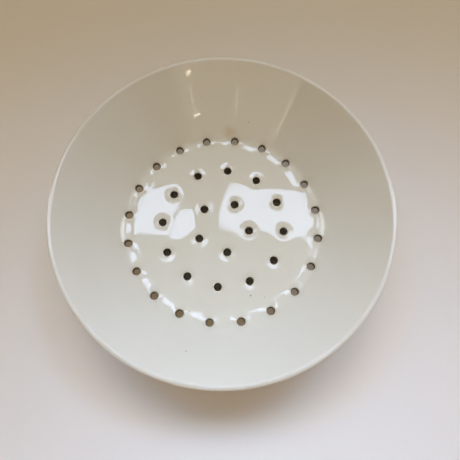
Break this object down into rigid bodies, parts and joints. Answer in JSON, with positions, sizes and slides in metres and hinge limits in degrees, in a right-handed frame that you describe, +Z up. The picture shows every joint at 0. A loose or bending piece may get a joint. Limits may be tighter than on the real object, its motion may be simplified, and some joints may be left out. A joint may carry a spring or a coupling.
{
  "type": "draining plate",
  "caption": "Round white glazed ceramic draining plate: flat bed pierced by rings of drain holes, flared wall, rounded lip and a foot ring that lets the water run off.",
  "frame": {"origin": "centre of the circle that the foot ring stands on, at table level", "axes": "+Z up along the plate's axis of revolution, out of the open side; +X and +Y in the table plane, with the hole rings' start angles counted from +X towards +Y"},
  "size_m": [0.22, 0.22, 0.057],
  "materials": {
    "white_glaze": "glossy warm white glaze over a ceramic body, softened over every edge",
    "foot_clay": "glazed on its sides, with the standing face wiped bare to dry pale clay"
  },
  "bodies": {
    "root": {"drain_floor": "white_glaze", "turned_edge": "white_glaze", "flared_wall": "white_glaze", "rim_lip": "white_glaze", "foot_ring": "foot_clay"}
  },
  "joints": []
}
